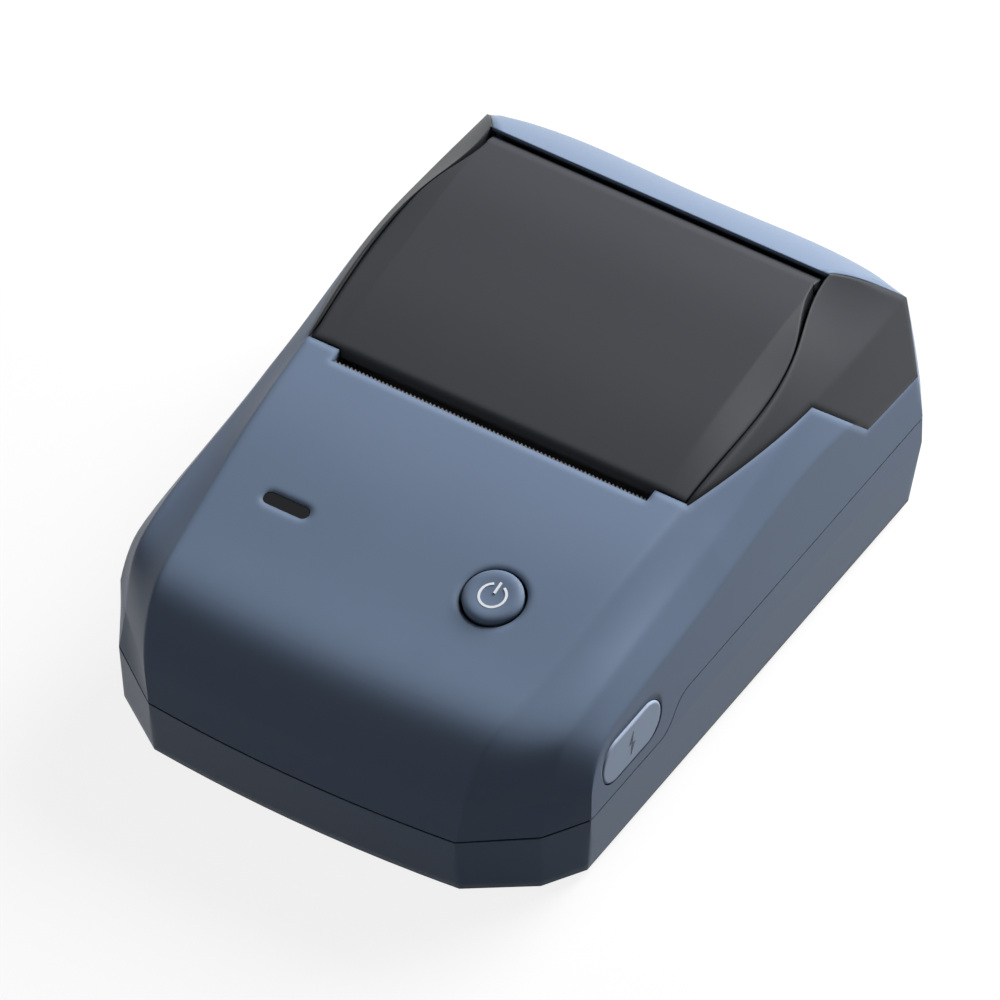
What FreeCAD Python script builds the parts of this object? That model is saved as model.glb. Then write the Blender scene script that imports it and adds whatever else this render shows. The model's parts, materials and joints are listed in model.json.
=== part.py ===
"""Thermal label printer with a drop-in roll bay, in millimetres.

The front faces -Y, the right side faces +X and the feet stand on Z = 0.
Lengths called "deep" are measured back from the front edge of the housing.
"""
import FreeCAD
import Part
import math
import os

V = FreeCAD.Vector

# Housing: overall sizes and walls
body_width = 78.0
body_depth = 116.0
foot_drop = 1.5
wall = 1.8
floor_wall = 2.0
seam_gap = 0.3
seam_depth = 0.7

# Housing: heights of the levels that the outline is drawn at
parting_front = 11.6
parting_rear = 16.2
shoulder_height = 17.0
parting_step_start = 32.9
parting_step_end = 40.9

# Housing: hood, crest and side edge rails
hood_inset_front = 10.4
hood_inset_rear = 7.8
hood_front_height = 31.0
hood_middle_height = 36.0
hood_rear_height = 38.2
hood_end = 51.9
front_bow = 1.3
crest_inset = 3.4
crest_front_height = 27.95
crest_rear_height = 33.25
crest_top_height = 37.5
trough_depth = 0.5
flank_draft = 0.07
edge_front_height = 24.3
edge_rear_height = 28.1
edge_corner_height = 25.1
base_draft = 0.6
strip_front = 95.1
strip_inset = 10.9
strip_height = 45.9
strip_bulge_deep = 100.6
strip_bulge_height = 41.6
rear_corner_inset = 4.0
rear_corner_deep = 105.0
rear_corner_height = 36.8
rear_middle_deep = 106.8
notch_start = 78.5
notch_low_deep = 89.3
notch_low_height = 25.5

# Lid and its hinge
lid_gap = 0.4
hinge_relief = 0.55
lid_wall = 1.6
lid_front = 52.6
lid_middle_height = 43.3
lid_flat_inset = 11.6
lid_bevel_inset = 6.4
hinge_deep = 92.6
hinge_height = 42.2
hinge_lip = 3.3
lip_room = 0.7
hinge_pin_radius = 0.8
hinge_pin_reach = 1.5
hinge_pin_inside = 4.1
frame_wall = 1.4
ear_wall = 1.6
ear_gap = 0.6
arm_inset = 5.6

# Tear slot
slot_inset = 2.5
slot_front = 50.0
blade_wall = 0.5
blade_height = 5.6
tooth_pitch = 0.65
tooth_height = 0.5

# Platen roller and print head
platen_deep = 60.3
platen_height = 31.1
platen_radius = 4.5
platen_inset = 3.2
shaft_radius = 1.5
bush_radius = 2.9
head_lean = 32.0
paper_gap = 0.3
ceramic_wall = 1.0
ceramic_length = 9.0
sink_wall = 3.2
sink_above = 5.0
sink_below = 11.0
head_inset = 3.0
head_pin_radius = 1.0
spring_radius = 2.0
spring_wire = 0.25
spring_length = 6.5
spring_turns = 5
spring_place = 10.0

# Gear train
gear_module = 0.5
gear_backlash = 0.12
platen_teeth = 18
idler_teeth = 20
small_teeth = 14
large_teeth = 34
motor_teeth = 12
gear_width = 1.8
axle_radius = 1.0
axle_head = 0.6
idler_angle = -75.5
reduction_angle = 166.0
motor_angle = 170.0
motor_radius = 7.0
motor_length = 11.0
motor_collar = 2.4

# Steel chassis
sheet = 0.8
gear_room = 10.4
chassis_height = 15.2
chassis_front = 45.0
chassis_rear = 62.6

# Roll bay and guides
bay_inset = 2.4
bay_wall = 1.3
bay_radius = 17.2
bay_deep = 80.4
bay_height = 25.2
bay_lip_height = 22.0
bay_top = 34.2
guide_wall = 1.8
guide_travel = 10.0
guide_inset = 2.6
guide_radius = 9.0
hub_radius = 5.6
hub_length = 3.0
rack_module = 0.8
rack_teeth = 8
rack_height = 1.9
guide_pinion_teeth = 12
guide_slot = 4.2

# Electronics
board_wall = 1.6
board_top = 16.3
board_front = 8.0
board_rear = 33.0
board_inset = 9.0
socket_width = 8.9
socket_height = 3.2
socket_length = 7.4
battery_inset = 13.0
battery_length = 32.0
battery_height = 9.2
battery_front = 11.5
key_depth = 6.2
key_wall = 1.2
key_half = 24.0
key_length = 11.0
key_post_left = -11.0
key_post_right = 22.4
switch_size = 6.0
switch_height = 3.4

# Controls
button_x = 15.9
button_deep = 26.2
button_radius = 4.4
button_ring = 4.85
button_rise = 0.8
button_travel = 0.5
window_x = -18.2
window_length = 7.4
window_width = 2.0
plug_deep = 25.8
plug_height = 17.9
plug_length = 15.3
plug_width = 7.5
plug_wall = 1.1
plug_fit = 0.15

# Feet and screws
foot_radius = 4.5
foot_seat = 0.8
foot_inset = 12.0
foot_front = 22.0
foot_rear = 96.0
screw_inset = 6.0
screw_radius = 1.1
screw_head = 2.0
boss_radius = 2.6
tower_height = 22.0

# Clearances, and a reach past the whole housing for cutting tools
far = 60.0
run_gap = 0.3
fit_gap = 0.06

# Widths that follow from the housing and the room beside the chassis
half_width = body_width / 2
front_y = -body_depth / 2
chassis_half = half_width - gear_room
slot_half = chassis_half - slot_inset
platen_length = 2 * (chassis_half - platen_inset)
head_half = chassis_half - head_inset
bay_half = chassis_half - bay_inset
guide_rest = bay_half - guide_inset
board_half = half_width - board_inset
battery_width = 2 * (half_width - battery_inset)
foot_x = half_width - foot_inset
screw_x = half_width - screw_inset
crest_x = half_width - crest_inset
hood_half_front = half_width - hood_inset_front
hood_half_rear = half_width - hood_inset_rear
strip_half = half_width - strip_inset
rear_corner_half = half_width - rear_corner_inset
lid_flat_half = half_width - lid_flat_inset
lid_bevel_half = half_width - lid_bevel_inset
arm_x = strip_half - arm_inset
hinge_pin_end = strip_half + hinge_pin_reach
hood_slope = math.degrees(math.atan2(hood_middle_height - hood_front_height, 21.6))
floor_top = foot_drop + floor_wall


def deep(distance):
    """Y of a place that lies this far behind the front edge."""
    return front_y + distance


def box(x0, x1, y0, y1, z0, z1):
    return Part.makeBox(x1 - x0, y1 - y0, z1 - z0, V(x0, y0, z0))


def rod_x(y, z, radius, x0, x1):
    return Part.makeCylinder(radius, x1 - x0, V(x0, y, z), V(1, 0, 0))


def rod_z(x, y, radius, z0, z1):
    return Part.makeCylinder(radius, z1 - z0, V(x, y, z0))


def prism_x(points, x0, x1):
    """Extrude a closed outline of (y, z) points along X."""
    outline = [V(x0, y, z) for y, z in points]
    return Part.Face(Part.makePolygon(outline + outline[:1])).extrude(V(x1 - x0, 0, 0))


def prism_z(points, z0, z1):
    """Extrude a closed outline of (x, y) points along Z."""
    outline = [V(x, y, z0) for x, y in points]
    return Part.Face(Part.makePolygon(outline + outline[:1])).extrude(V(0, 0, z1 - z0))


def join(shapes):
    return shapes[0].multiFuse(shapes[1:]).removeSplitter()


def mirrored(shape):
    return shape.mirror(V(0, 0, 0), V(1, 0, 0))


def both_sides(shape):
    return [shape, mirrored(shape)]


def stadium(length, width, height):
    """A slab with round ends, long in X, standing on Z = 0."""
    reach = (length - width) / 2
    radius = width / 2
    slab = box(-reach, reach, -radius, radius, 0, height)
    ends = [rod_z(x, 0, radius, 0, height) for x in (-reach, reach)]
    return join([slab] + ends)


def tilt(shape, angle, y, z):
    """Lean a shape back about X and carry its origin to (y, z)."""
    turned = shape.copy()
    turned.rotate(V(0, 0, 0), V(1, 0, 0), angle)
    turned.translate(V(0, y, z))
    return turned


# Housing skin: smooth faces carried on rails that run from front to back

def stations_of(points):
    """Parameters spaced by the distance from point to point along a rail."""
    places = [0.0]
    for first, second in zip(points, points[1:]):
        places.append(places[-1] + first.distanceToPoint(second))
    return [place / places[-1] for place in places]


def spline(points, stations=None):
    """A smooth rail, on its own stations or on those shared by its span."""
    stations = stations or stations_of(points)
    curve = Part.BSplineCurve()
    curve.interpolate(Points=points, Parameters=stations)
    return curve.toShape()


def inset_point(point, inset):
    """Move a point of the skin inwards, for the inside of the wall."""
    x, distance, z = point
    y = deep(distance)
    level = z - inset if z > shoulder_height else z
    if x == flank_point(distance, z)[0]:
        x = flank_point(distance, level)[0]
    return V(x * (1 - inset / half_width), y * (1 - inset / (body_depth / 2)), level)


def front_rails():
    """Middle, hood edge, crest and side edge, from the shoulder to the lid."""
    low = shoulder_height
    middle = [(0, 0.5, low), (0, 2.2, 23.6), (0, 6.4, 28.6), (0, 14.4, hood_front_height),
              (0, 36.5, hood_middle_height), (0, hood_end, hood_rear_height)]
    hood = [(half_width - 12.8, 1.8, low), (half_width - 12.0, 3.5, 23.6), (half_width - 11.2, 7.4, 28.6),
            (hood_half_front, 14.9, hood_front_height),
            (half_width - 8.6, 36.5, hood_middle_height), (hood_half_rear, hood_end, hood_rear_height)]
    crest = [(crest_x - 0.6, 10.4, low), (crest_x - 0.5, 11.4, 21.8), (crest_x - 0.3, 13.4, 25.6),
             (crest_x, 18.0, crest_front_height), (crest_x, 34.6, 30.85),
             (crest_x, hood_end, crest_rear_height)]
    edge = [flank_point(15.2, low), flank_point(16.3, 20.3), flank_point(18.0, 22.8),
            flank_point(21.4, edge_front_height), flank_point(37.5, 26.2),
            flank_point(hood_end, edge_rear_height)]
    return middle, hood, crest, edge


def lid_rails():
    """Lid edge, crest and side edge beside the lid, back to the rear corner."""
    lid_edge = [(hood_half_rear, hood_end, hood_rear_height),
                (hood_half_rear + 0.8, 63.6, 40.5), (hood_half_rear + 1.0, 74.1, 42.1),
                (strip_half + 2.6, 82.8, 43.7), (strip_half + 0.8, 88.6, 44.8),
                (strip_half, strip_front, strip_height)]
    crest = [(crest_x, hood_end, crest_rear_height), (crest_x, 64.5, 35.5),
             (crest_x, 77.5, crest_top_height), (crest_x, 88.0, 37.2), (crest_x - 0.1, 94.5, 36.9),
             (rear_corner_half, rear_corner_deep, rear_corner_height)]
    edge = [flank_point(hood_end, edge_rear_height), flank_point(64.5, 29.9),
            flank_point(77.5, 30.7), flank_point(88.0, 29.0), flank_point(94.5, 27.4),
            flank_point(102.7, edge_corner_height)]
    return lid_edge, crest, edge


def rear_rails():
    """Strip middle, rear corner, rear middle and side corner."""
    low = shoulder_height
    strip_middle = [(0, strip_front, strip_height), (0, 97.2, strip_height),
                    (0, 99.4, strip_height - 1.6), (0, rear_middle_deep, rear_corner_height)]
    corner = [(rear_corner_half, rear_corner_deep, rear_corner_height),
              (rear_corner_half, 107.3, 27.0), (rear_corner_half, 109.3, low)]
    middle = [(0, rear_middle_deep, rear_corner_height), (0, 112.0, 27.0), (0, body_depth - 0.3, low)]
    edge = [flank_point(102.7, edge_corner_height), flank_point(103.2, 21.0), flank_point(103.4, low)]
    return strip_middle, corner, middle, edge


def shoulder_rails():
    """Rails that keep the strip and the rear wall full until near their ends."""
    near = rear_corner_half - 4.6
    strip = [(strip_half - 1.1, strip_front, strip_height), (strip_half - 0.8, 97.2, strip_height - 0.1),
             (strip_half - 0.1, 99.4, strip_height - 1.8), (near, 106.0, rear_corner_height)]
    rear = [(near, 106.0, rear_corner_height), (near + 0.6, 109.1, 27.0),
            (near + 0.8, 111.0, shoulder_height)]
    return strip, rear


def flank_point(distance, height):
    """A point on the right flank, which leans in above the shoulder."""
    return half_width - flank_draft * (height - shoulder_height), distance, height


def edge_between(face, first, second):
    """The edge of a face that joins two corners, running from the first."""
    for edge in face.Edges:
        ends = [edge.valueAt(edge.FirstParameter), edge.valueAt(edge.LastParameter)]
        if ends[0].distanceToPoint(first) < 0.01 and ends[1].distanceToPoint(second) < 0.01:
            return edge.Curve.toShape(edge.FirstParameter, edge.LastParameter)
        if ends[1].distanceToPoint(first) < 0.01 and ends[0].distanceToPoint(second) < 0.01:
            curve = edge.Curve.copy()
            curve.reverse()
            return curve.toShape()
    raise ValueError("no edge between these corners")


def ruled(first, second):
    return Part.makeRuledSurface(first, second)


def loft(rails):
    return Part.makeLoft([Part.Wire([rail]) for rail in rails], False, False).Faces[0]


def across(corner, shoulder, middle):
    """A rail from left to right through a corner, a shoulder and the middle."""
    right = [shoulder, corner]
    left = [V(-point.x, point.y, point.z) for point in reversed(right)]
    return spline(left + [middle] + right)


def middle_rail(first, second, sink):
    """Rail half way between two others, sunk to make a shallow trough."""
    rail = []
    for index, (a, b) in enumerate(zip(first, second)):
        drop = sink if 1 < index < len(first) - 1 else 0.0
        rail.append(V((a.x + b.x) / 2, (a.y + b.y) / 2, (a.z + b.z) / 2 - drop))
    return rail


def strip_bulge():
    """Middle of the strip's edge, in line with its ends when seen from above."""
    share = (strip_bulge_deep - strip_front) / (rear_corner_deep - strip_front)
    return strip_half + share * (rear_corner_half - strip_half), strip_bulge_deep, strip_bulge_height


def outline_edges(level, setbacks, draft, inset):
    """Edges of the housing's plan at one height: front, facets, side, rear."""
    front, hood, crest, rear_side, rear_crest, rear = setbacks
    plan = {
        "front": (0, front, level),
        "hood": (half_width - 13.7, hood, level),
        "crest": (half_width - 4.1 - draft / 2, crest, level),
        "side": (half_width - draft, 15.1, level),
        "rear_side": (half_width - draft, rear_side, level),
        "rear_crest": (rear_corner_half - draft / 2, rear_crest, level),
        "rear": (0, rear, level),
    }
    at = {name: inset_point(point, inset) for name, point in plan.items()}
    left_hood = V(-at["hood"].x, at["hood"].y, level)
    left_crest = V(-at["rear_crest"].x, at["rear_crest"].y, level)
    front_edge = spline([left_hood, at["front"], at["hood"]])
    rear_edge = spline([at["rear_crest"], at["rear"], left_crest])
    corners = ["hood", "crest", "side", "rear_side", "rear_crest"]
    sides = [Part.makeLine(at[a], at[b]) for a, b in zip(corners, corners[1:])]
    return front_edge, rear_edge, sides


def edge_at_level(face, level):
    """The edge of a face that lies in the horizontal plane at this height."""
    for edge in face.Edges:
        if all(abs(vertex.Z - level) < 0.001 for vertex in edge.Vertexes):
            return edge
    raise ValueError("no edge at this height")


def moved(rails, inset):
    """The points of several rails, moved inwards."""
    return [[inset_point(point, inset) for point in rail] for rail in rails]


def hood_faces(inset):
    """Hood across the middle, then the trough and the bevel on its right."""
    middle, hood, crest, edge = moved(front_rails(), inset)
    span = stations_of(hood)
    hood_edge, crest_edge, side_edge = [spline(rail, span) for rail in (hood, crest, edge)]
    trough = spline(middle_rail(hood, crest, trough_depth if inset == 0 else 0.0), span)
    hood_face = loft([mirrored(hood_edge), spline(middle, span), hood_edge])
    return hood_face, [loft([hood_edge, trough, crest_edge]), ruled(crest_edge, side_edge)], side_edge


def shoulder_faces(inset):
    """Face over the lid, then the wing and the bevel on its right."""
    lid_edge, crest, side = moved(lid_rails(), inset)
    span = stations_of(lid_edge)
    lid_line, crest_edge, side_edge = [spline(rail, span) for rail in (lid_edge, crest, side)]
    middle = middle_rail(lid_edge, crest, 0.0)
    middle[-1] = inset_point(strip_bulge(), inset)
    wing_face = loft([lid_line, spline(middle, span), crest_edge])
    strip_edge = edge_between(wing_face, lid_edge[-1], crest[-1])
    lid_face = ruled(mirrored(lid_line), lid_line)
    return lid_face, [wing_face, ruled(crest_edge, side_edge)], strip_edge, side_edge


def rear_faces(inset, strip_edge):
    """Strip behind the lid and rear wall, then the facet at the right corner."""
    strip_middle, corner, middle, edge = moved(rear_rails(), inset)
    strip_shoulder, rear_shoulder = moved(shoulder_rails(), inset)
    strip_side = spline(strip_shoulder, stations_of(strip_middle))
    strip_face = loft([mirrored(strip_edge), mirrored(strip_side), spline(strip_middle),
                       strip_side, strip_edge])
    left_corner = V(-corner[0].x, corner[0].y, corner[0].z)
    rear_lines = [edge_between(strip_face, left_corner, corner[0])]
    rear_lines += [across(*row) for row in list(zip(corner, rear_shoulder, middle))[1:]]
    rear_face = loft(rear_lines)
    side_edge = spline(edge, stations_of(corner))
    facet = ruled(edge_between(rear_face, corner[0], corner[-1]), side_edge)
    return strip_face, rear_face, facet, side_edge


def skirt_faces(tops, inset, bottom):
    """Walls from the shoulder down to the floor, with the floor itself."""
    top_front, top_rear, top_sides = tops
    parting = outline_edges(parting_front, (0.0, front_bow, 8.4, 103.4, 109.3, body_depth), 0.0, inset)
    setbacks = (1.2, 1.2 + front_bow, 9.0, 101.0, 108.0, body_depth - 1.4)
    low = outline_edges(bottom, setbacks, base_draft, inset)
    middle = [ruled(top_front, parting[0]), ruled(parting[0], low[0])]
    middle += [ruled(top_rear, parting[1]), ruled(parting[1], low[1])]
    right = []
    for upper, mid, under in zip(top_sides, parting[2], low[2]):
        right += [ruled(upper, mid), ruled(mid, under)]
    floor_edges = [low[0], low[1]] + low[2] + [mirrored(edge) for edge in low[2]]
    middle.append(Part.Face(Part.Wire(Part.__sortEdges__(floor_edges))))
    return middle, right


def housing(inset, bottom):
    """Closed solid inside the housing's skin, moved inwards by inset."""
    hood_face, hood_right, hood_side = hood_faces(inset)
    lid_face, lid_right, strip_edge, lid_side = shoulder_faces(inset)
    strip_face, rear_face, facet, rear_side = rear_faces(inset, strip_edge)
    low_line = Part.makeLine(hood_side.Vertexes[0].Point, rear_side.Vertexes[-1].Point)
    flank = Part.Face(Part.Wire(Part.__sortEdges__([hood_side, lid_side, rear_side, low_line])))

    level = shoulder_height
    side_tops = [edge_at_level(face, level) for face in (*hood_right, flank, facet)]
    tops = edge_at_level(hood_face, level), edge_at_level(rear_face, level), side_tops
    skirt_middle, skirt_right = skirt_faces(tops, inset, bottom)
    right = hood_right + lid_right + [facet, flank] + skirt_right
    middle = [hood_face, lid_face, strip_face, rear_face] + skirt_middle
    shell = Part.makeShell(middle + right + [mirrored(face) for face in right])
    shell.sewShape(0.01)
    solid = Part.Solid(shell)
    if solid.Volume < 0:
        solid.reverse()
    return solid


def below_parting(raise_by):
    """Everything under the stepped parting line."""
    ease = 0.55 * (parting_step_end - parting_step_start)
    start = V(-body_width, deep(parting_step_start), parting_front + raise_by)
    end = V(-body_width, deep(parting_step_end), parting_rear + raise_by)
    step = Part.BezierCurve()
    step.setPoles([start, start + V(0, ease, 0), end - V(0, ease, 0), end])
    reach = body_depth
    corners = [end, V(-body_width, reach, end.z), V(-body_width, reach, -reach),
               V(-body_width, -reach, -reach), V(-body_width, -reach, start.z), start]
    lines = [Part.makeLine(first, second) for first, second in zip(corners, corners[1:])]
    wire = Part.Wire(Part.__sortEdges__([step.toShape()] + lines))
    return Part.Face(wire).extrude(V(2 * body_width, 0, 0))


def lid_opening(shrink, low, high):
    """Upright prism over the lid's own outline in plan."""
    right = []
    for x, distance, _ in lid_rails()[0]:
        swing = hinge_relief if shrink > 0 and distance > notch_start + 9 else 0.0
        right.append(V(x - shrink - swing, deep(distance), low))
    right[0].y = deep(lid_front) - lid_gap + shrink
    right[-1].y = deep(strip_front) - shrink
    left = [V(-point.x, point.y, low) for point in right]
    sides = [spline(right), spline(left)]
    ends = [Part.makeLine(left[0], right[0]), Part.makeLine(right[-1], left[-1])]
    wire = Part.Wire(Part.__sortEdges__(sides + ends))
    return Part.Face(wire).extrude(V(0, 0, high - low))


def wing_region():
    """Space on the right that belongs to the dark wing beside the lid."""
    side = [(lid_front - lid_gap, 38.0), (notch_start, crest_top_height), (notch_low_deep, notch_low_height),
            (103.3, notch_low_height - 0.7), (rear_corner_deep, rear_corner_height),
            (rear_corner_deep, far), (lid_front - lid_gap, far)]
    lap = 0.3
    plan = [(strip_half - lap, lid_front - lid_gap), (strip_half - lap, strip_front),
            (rear_corner_half - lap, rear_corner_deep), (far, rear_corner_deep),
            (far, lid_front - lid_gap)]
    profile = prism_x([(deep(d), z) for d, z in side], strip_half - 1, far)
    footprint = prism_z([(x, deep(d)) for x, d in plan], 0.0, 70.0)
    return profile.common(footprint)


def on_hood(shape, x, distance, sunk):
    """Place a shape on the hood's own slope, sunk below its surface."""
    rise = (hood_middle_height - hood_front_height) / 21.6
    height = hood_front_height + (distance - 14.9) * rise
    placed = tilt(shape, hood_slope, deep(distance), height)
    normal = V(0, -math.sin(math.radians(hood_slope)), math.cos(math.radians(hood_slope)))
    placed.translate(V(x, 0, 0) - normal * sunk)
    return placed


outer = housing(0.0, foot_drop)
inner = housing(wall, floor_top)
groove_core = housing(seam_depth, foot_drop - 1.0)
skin = outer.cut(inner)
lower_half = below_parting(0.0)
raised_half = below_parting(seam_gap)
seam = raised_half.cut(lower_half).cut(groove_core)
right_wing_space = wing_region()
lid_hole = lid_opening(0.0, 30.0, far)


def base_shell():
    """Lower housing with bosses, battery ribs and foot seats."""
    shell = skin.common(lower_half)
    posts = []
    for x, y in base_screw_places():
        posts.append(rod_z(x, y, boss_radius, floor_top - 0.1, parting_front - 0.5))
    for x, y in chassis_screw_places():
        posts.append(rod_z(x, y, boss_radius, floor_top - 0.1, chassis_height))
    for x, y in board_screw_places():
        posts.append(rod_z(x, y, boss_radius, floor_top - 0.1, board_top - board_wall))
    rib_y = deep(battery_front) - run_gap
    for y0 in (rib_y - bay_wall, rib_y + battery_length + 2 * run_gap):
        posts.append(box(-battery_width / 3, battery_width / 3, y0, y0 + bay_wall,
                         floor_top - 0.1, floor_top + battery_height / 2))
    shell = shell.multiFuse(posts)
    holes = []
    for x, y in base_screw_places():
        holes.append(rod_z(x, y, screw_radius, 0, parting_front))
        holes.append(rod_z(x, y, screw_head + fit_gap, 0, foot_drop + 1.2))
    for x, y in chassis_screw_places():
        holes.append(rod_z(x, y, screw_radius - fit_gap, floor_top, chassis_height + 1))
    for x, y in board_screw_places():
        holes.append(rod_z(x, y, screw_radius - fit_gap, floor_top, board_top))
    for x, y in foot_places():
        holes.append(rod_z(x, y, foot_radius + fit_gap, 0, foot_drop + foot_seat))
    return shell.cut(Part.makeCompound(holes))


def base_screw_places():
    return [(x, deep(d)) for x in (-screw_x, screw_x) for d in (36.5, 86.0)]


def chassis_screw_places():
    reach = chassis_half - 6.6
    return [(x, deep(d)) for x in (-reach, reach) for d in (48.2, 59.6)]


def board_screw_places():
    edge = board_half - 1.4
    return [(-edge, deep(16.0)), (-edge, deep(29.5)), (edge, deep(17.0))]


def foot_places():
    return [(x, deep(d)) for x in (-foot_x, foot_x) for d in (foot_front, foot_rear)]


def upper_shell():
    """Upper housing: hood, side flanks, rear strip and rear wall."""
    shell = skin.cut(lower_half).cut(seam)
    slot = box(-slot_half, slot_half, deep(slot_front), deep(lid_front), 30.0, far)
    cuts = [lid_hole, slot] + both_sides(right_wing_space)
    cuts.append(lid_lip(hinge_lip + lip_room, strip_half))
    cuts.append(on_hood(rod_z(0, 0, button_ring, -8.0, 6.0), button_x, button_deep, 0.0))
    window = stadium(window_length + 2 * fit_gap, window_width + 2 * fit_gap, 8.0)
    cuts.append(on_hood(window, window_x, button_deep, 4.0))
    port = stadium(plug_length + 2 * plug_fit, plug_width + 2 * plug_fit, plug_wall + 1.0)
    cuts.append(on_side(port, half_width - plug_wall))
    throat = stadium(socket_width + 1.2, socket_height + 1.2, 2 * wall)
    cuts.append(on_side(throat, half_width - 2 * wall))
    shell = shell.cut(Part.makeCompound(cuts))
    shell = shell.multiFuse(key_posts() + screw_towers())
    holes = [rod_z(x, y, screw_radius, 0, parting_rear) for x, y in base_screw_places()]
    return shell.cut(Part.makeCompound(key_post_holes() + holes))


def screw_towers():
    """Bosses in the upper housing, each tied to its flank by a web."""
    towers = []
    for x, y in base_screw_places():
        side = math.copysign(1.0, x)
        tower = rod_z(x, y, boss_radius, parting_front - 0.2, tower_height)
        web_x = sorted((x, side * (half_width - wall / 2)))
        web = box(web_x[0], web_x[1], y - 0.6, y + 0.6, parting_rear + seam_gap, tower_height)
        towers.append(join([tower, web]).common(outer))
    return towers


def on_side(shape, x):
    """Stand a slab that is long in X on the right flank, long in Y."""
    turned = shape.copy()
    turned.rotate(V(0, 0, 0), V(0, 0, 1), 90)
    turned.rotate(V(0, 0, 0), V(0, 1, 0), 90)
    turned.translate(V(x, deep(plug_deep), plug_height))
    return turned


def key_post_places():
    return [(key_post_left, button_deep), (key_post_right, button_deep)]


def key_posts():
    """Two posts under the hood that carry the key board."""
    posts = []
    for x, d in key_post_places():
        length = key_depth - wall * 0.6
        posts.append(on_hood(rod_z(0, 0, 1.5, 0, length), x, d, key_depth))
    return posts


def key_post_holes():
    return [on_hood(rod_z(0, 0, 0.6, -0.5, 3.0), x, d, key_depth) for x, d in key_post_places()]


def wing():
    """Right shoulder cover: scooped skin with an upright inner wall for the hinge."""
    cover = skin.common(right_wing_space)
    hinge_y = deep(hinge_deep)
    upright = lid_opening(-2.2, bay_top + 1.2, far).cut(lid_opening(0.0, 20.0, far))
    upright = upright.common(outer).common(box(0.0, far, deep(66.0), deep(strip_front), 0.0, far))
    upright = upright.common(right_wing_space)
    body = cover.fuse(upright).cut(lid_hole)
    body = body.cut(rod_x(hinge_y, hinge_height, hinge_pin_radius, 0.0, hinge_pin_end))
    return largest(body)


def largest(shape):
    """The main solid of a cut, without loose crumbs."""
    return max(shape.Solids, key=lambda solid: solid.Volume)


def hinge_pins():
    inside = strip_half - hinge_pin_inside
    pin = rod_x(deep(hinge_deep), hinge_height, hinge_pin_radius, inside, hinge_pin_end - 0.1)
    return Part.makeCompound(both_sides(pin))


# Lid: crowned cover with soft side bevels, and the carrier under it

def lid_block(drop, shrink):
    """Solid under the lid's crowned surface, lowered by drop."""
    low = 30.0
    outline = lid_opening(lid_gap + shrink, low, far)
    first = lid_front - 6.0
    last = strip_front + 3.0
    stations = [(first, 36.6, 36.2), (lid_front, 38.5, 38.1), (63.6, 41.4, 40.0),
                (74.1, lid_middle_height, 41.5), (84.0, 44.9, 43.6),
                (hinge_deep, hinge_height + hinge_lip, 45.1), (last, 45.6, 45.0)]
    flat_edge = spline([V(lid_flat_half, deep(d), top - drop) for d, top, _ in stations])
    bevel_edge = spline([V(lid_bevel_half, deep(d), side - drop) for d, _, side in stations])
    bevel = ruled(flat_edge, bevel_edge)
    faces = [ruled(mirrored(flat_edge), flat_edge), bevel, mirrored(bevel)]
    under = join([face.extrude(V(0, 0, -40.0)) for face in faces])
    return outline.common(under)


lid_outer = lid_block(0.0, 0.0)
lid_inner = lid_block(lid_wall, lid_wall)
lid_core = lid_block(lid_wall + frame_wall, lid_wall)


def lid_lip(radius, half):
    """Round barrel along the hinge, at the lid's rear edge."""
    return rod_x(deep(hinge_deep), hinge_height, radius, -half, half)


def lid_panel():
    """Outer cover: crowned top, short skirt and rounded rear edge."""
    hinge_y = deep(hinge_deep)
    cover = lid_outer.cut(lid_inner)
    skirt_low = prism_x([(deep(40.0), 34.0), (deep(lid_front + 1.0), 36.6), (deep(74.0), 39.8),
                         (hinge_y, hinge_height), (deep(120.0), hinge_height), (deep(120.0), 70.0),
                         (deep(40.0), 70.0)], -far, far)
    cover = cover.common(skirt_low)
    behind = box(-far, far, hinge_y, hinge_y + 20, 30.0, far)
    cover = cover.cut(behind)
    lip = lid_lip(hinge_lip, strip_half - 0.9).cut(lid_lip(hinge_lip - lid_wall, far))
    lip = lip.common(box(-far, far, hinge_y, hinge_y + 20, hinge_height - 0.6, far))
    pin_hole = rod_x(hinge_y, hinge_height, hinge_pin_radius + run_gap, -far, far)
    return join([cover, lip]).cut(pin_hole)


def platen_y():
    return deep(platen_deep)


def platen_ear():
    """Right ear under the lid that carries a bush of the platen."""
    inside = platen_length / 2 + ear_gap
    y, z = platen_y(), platen_height
    ear = prism_x([(y - 4.0, z), (y - 4.2, 36.6), (y - 3.0, 38.6), (y + 12.0, 41.0), (y + 4.6, 35.0),
                   (y + 4.0, z)], inside, inside + ear_wall)
    return ear.fuse(rod_x(y, z, 4.0, inside, inside + ear_wall)).common(lid_inner)


def hinge_barrel():
    """Right barrel around the hinge pin, inside the lid's rounded rear edge."""
    y, z = deep(hinge_deep), hinge_height
    behind = box(-far, far, y, y + 9, 0, far)
    edge_ring = lid_lip(hinge_lip, far).common(behind).cut(lid_lip(hinge_lip - lid_wall, far))
    barrel = rod_x(y, z, hinge_lip - lid_wall + 1.2, arm_x, strip_half - 1.0).cut(edge_ring)
    return barrel.common(lid_inner.fuse(box(-far, far, y, y + 9, 30, z - 0.65)))


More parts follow.
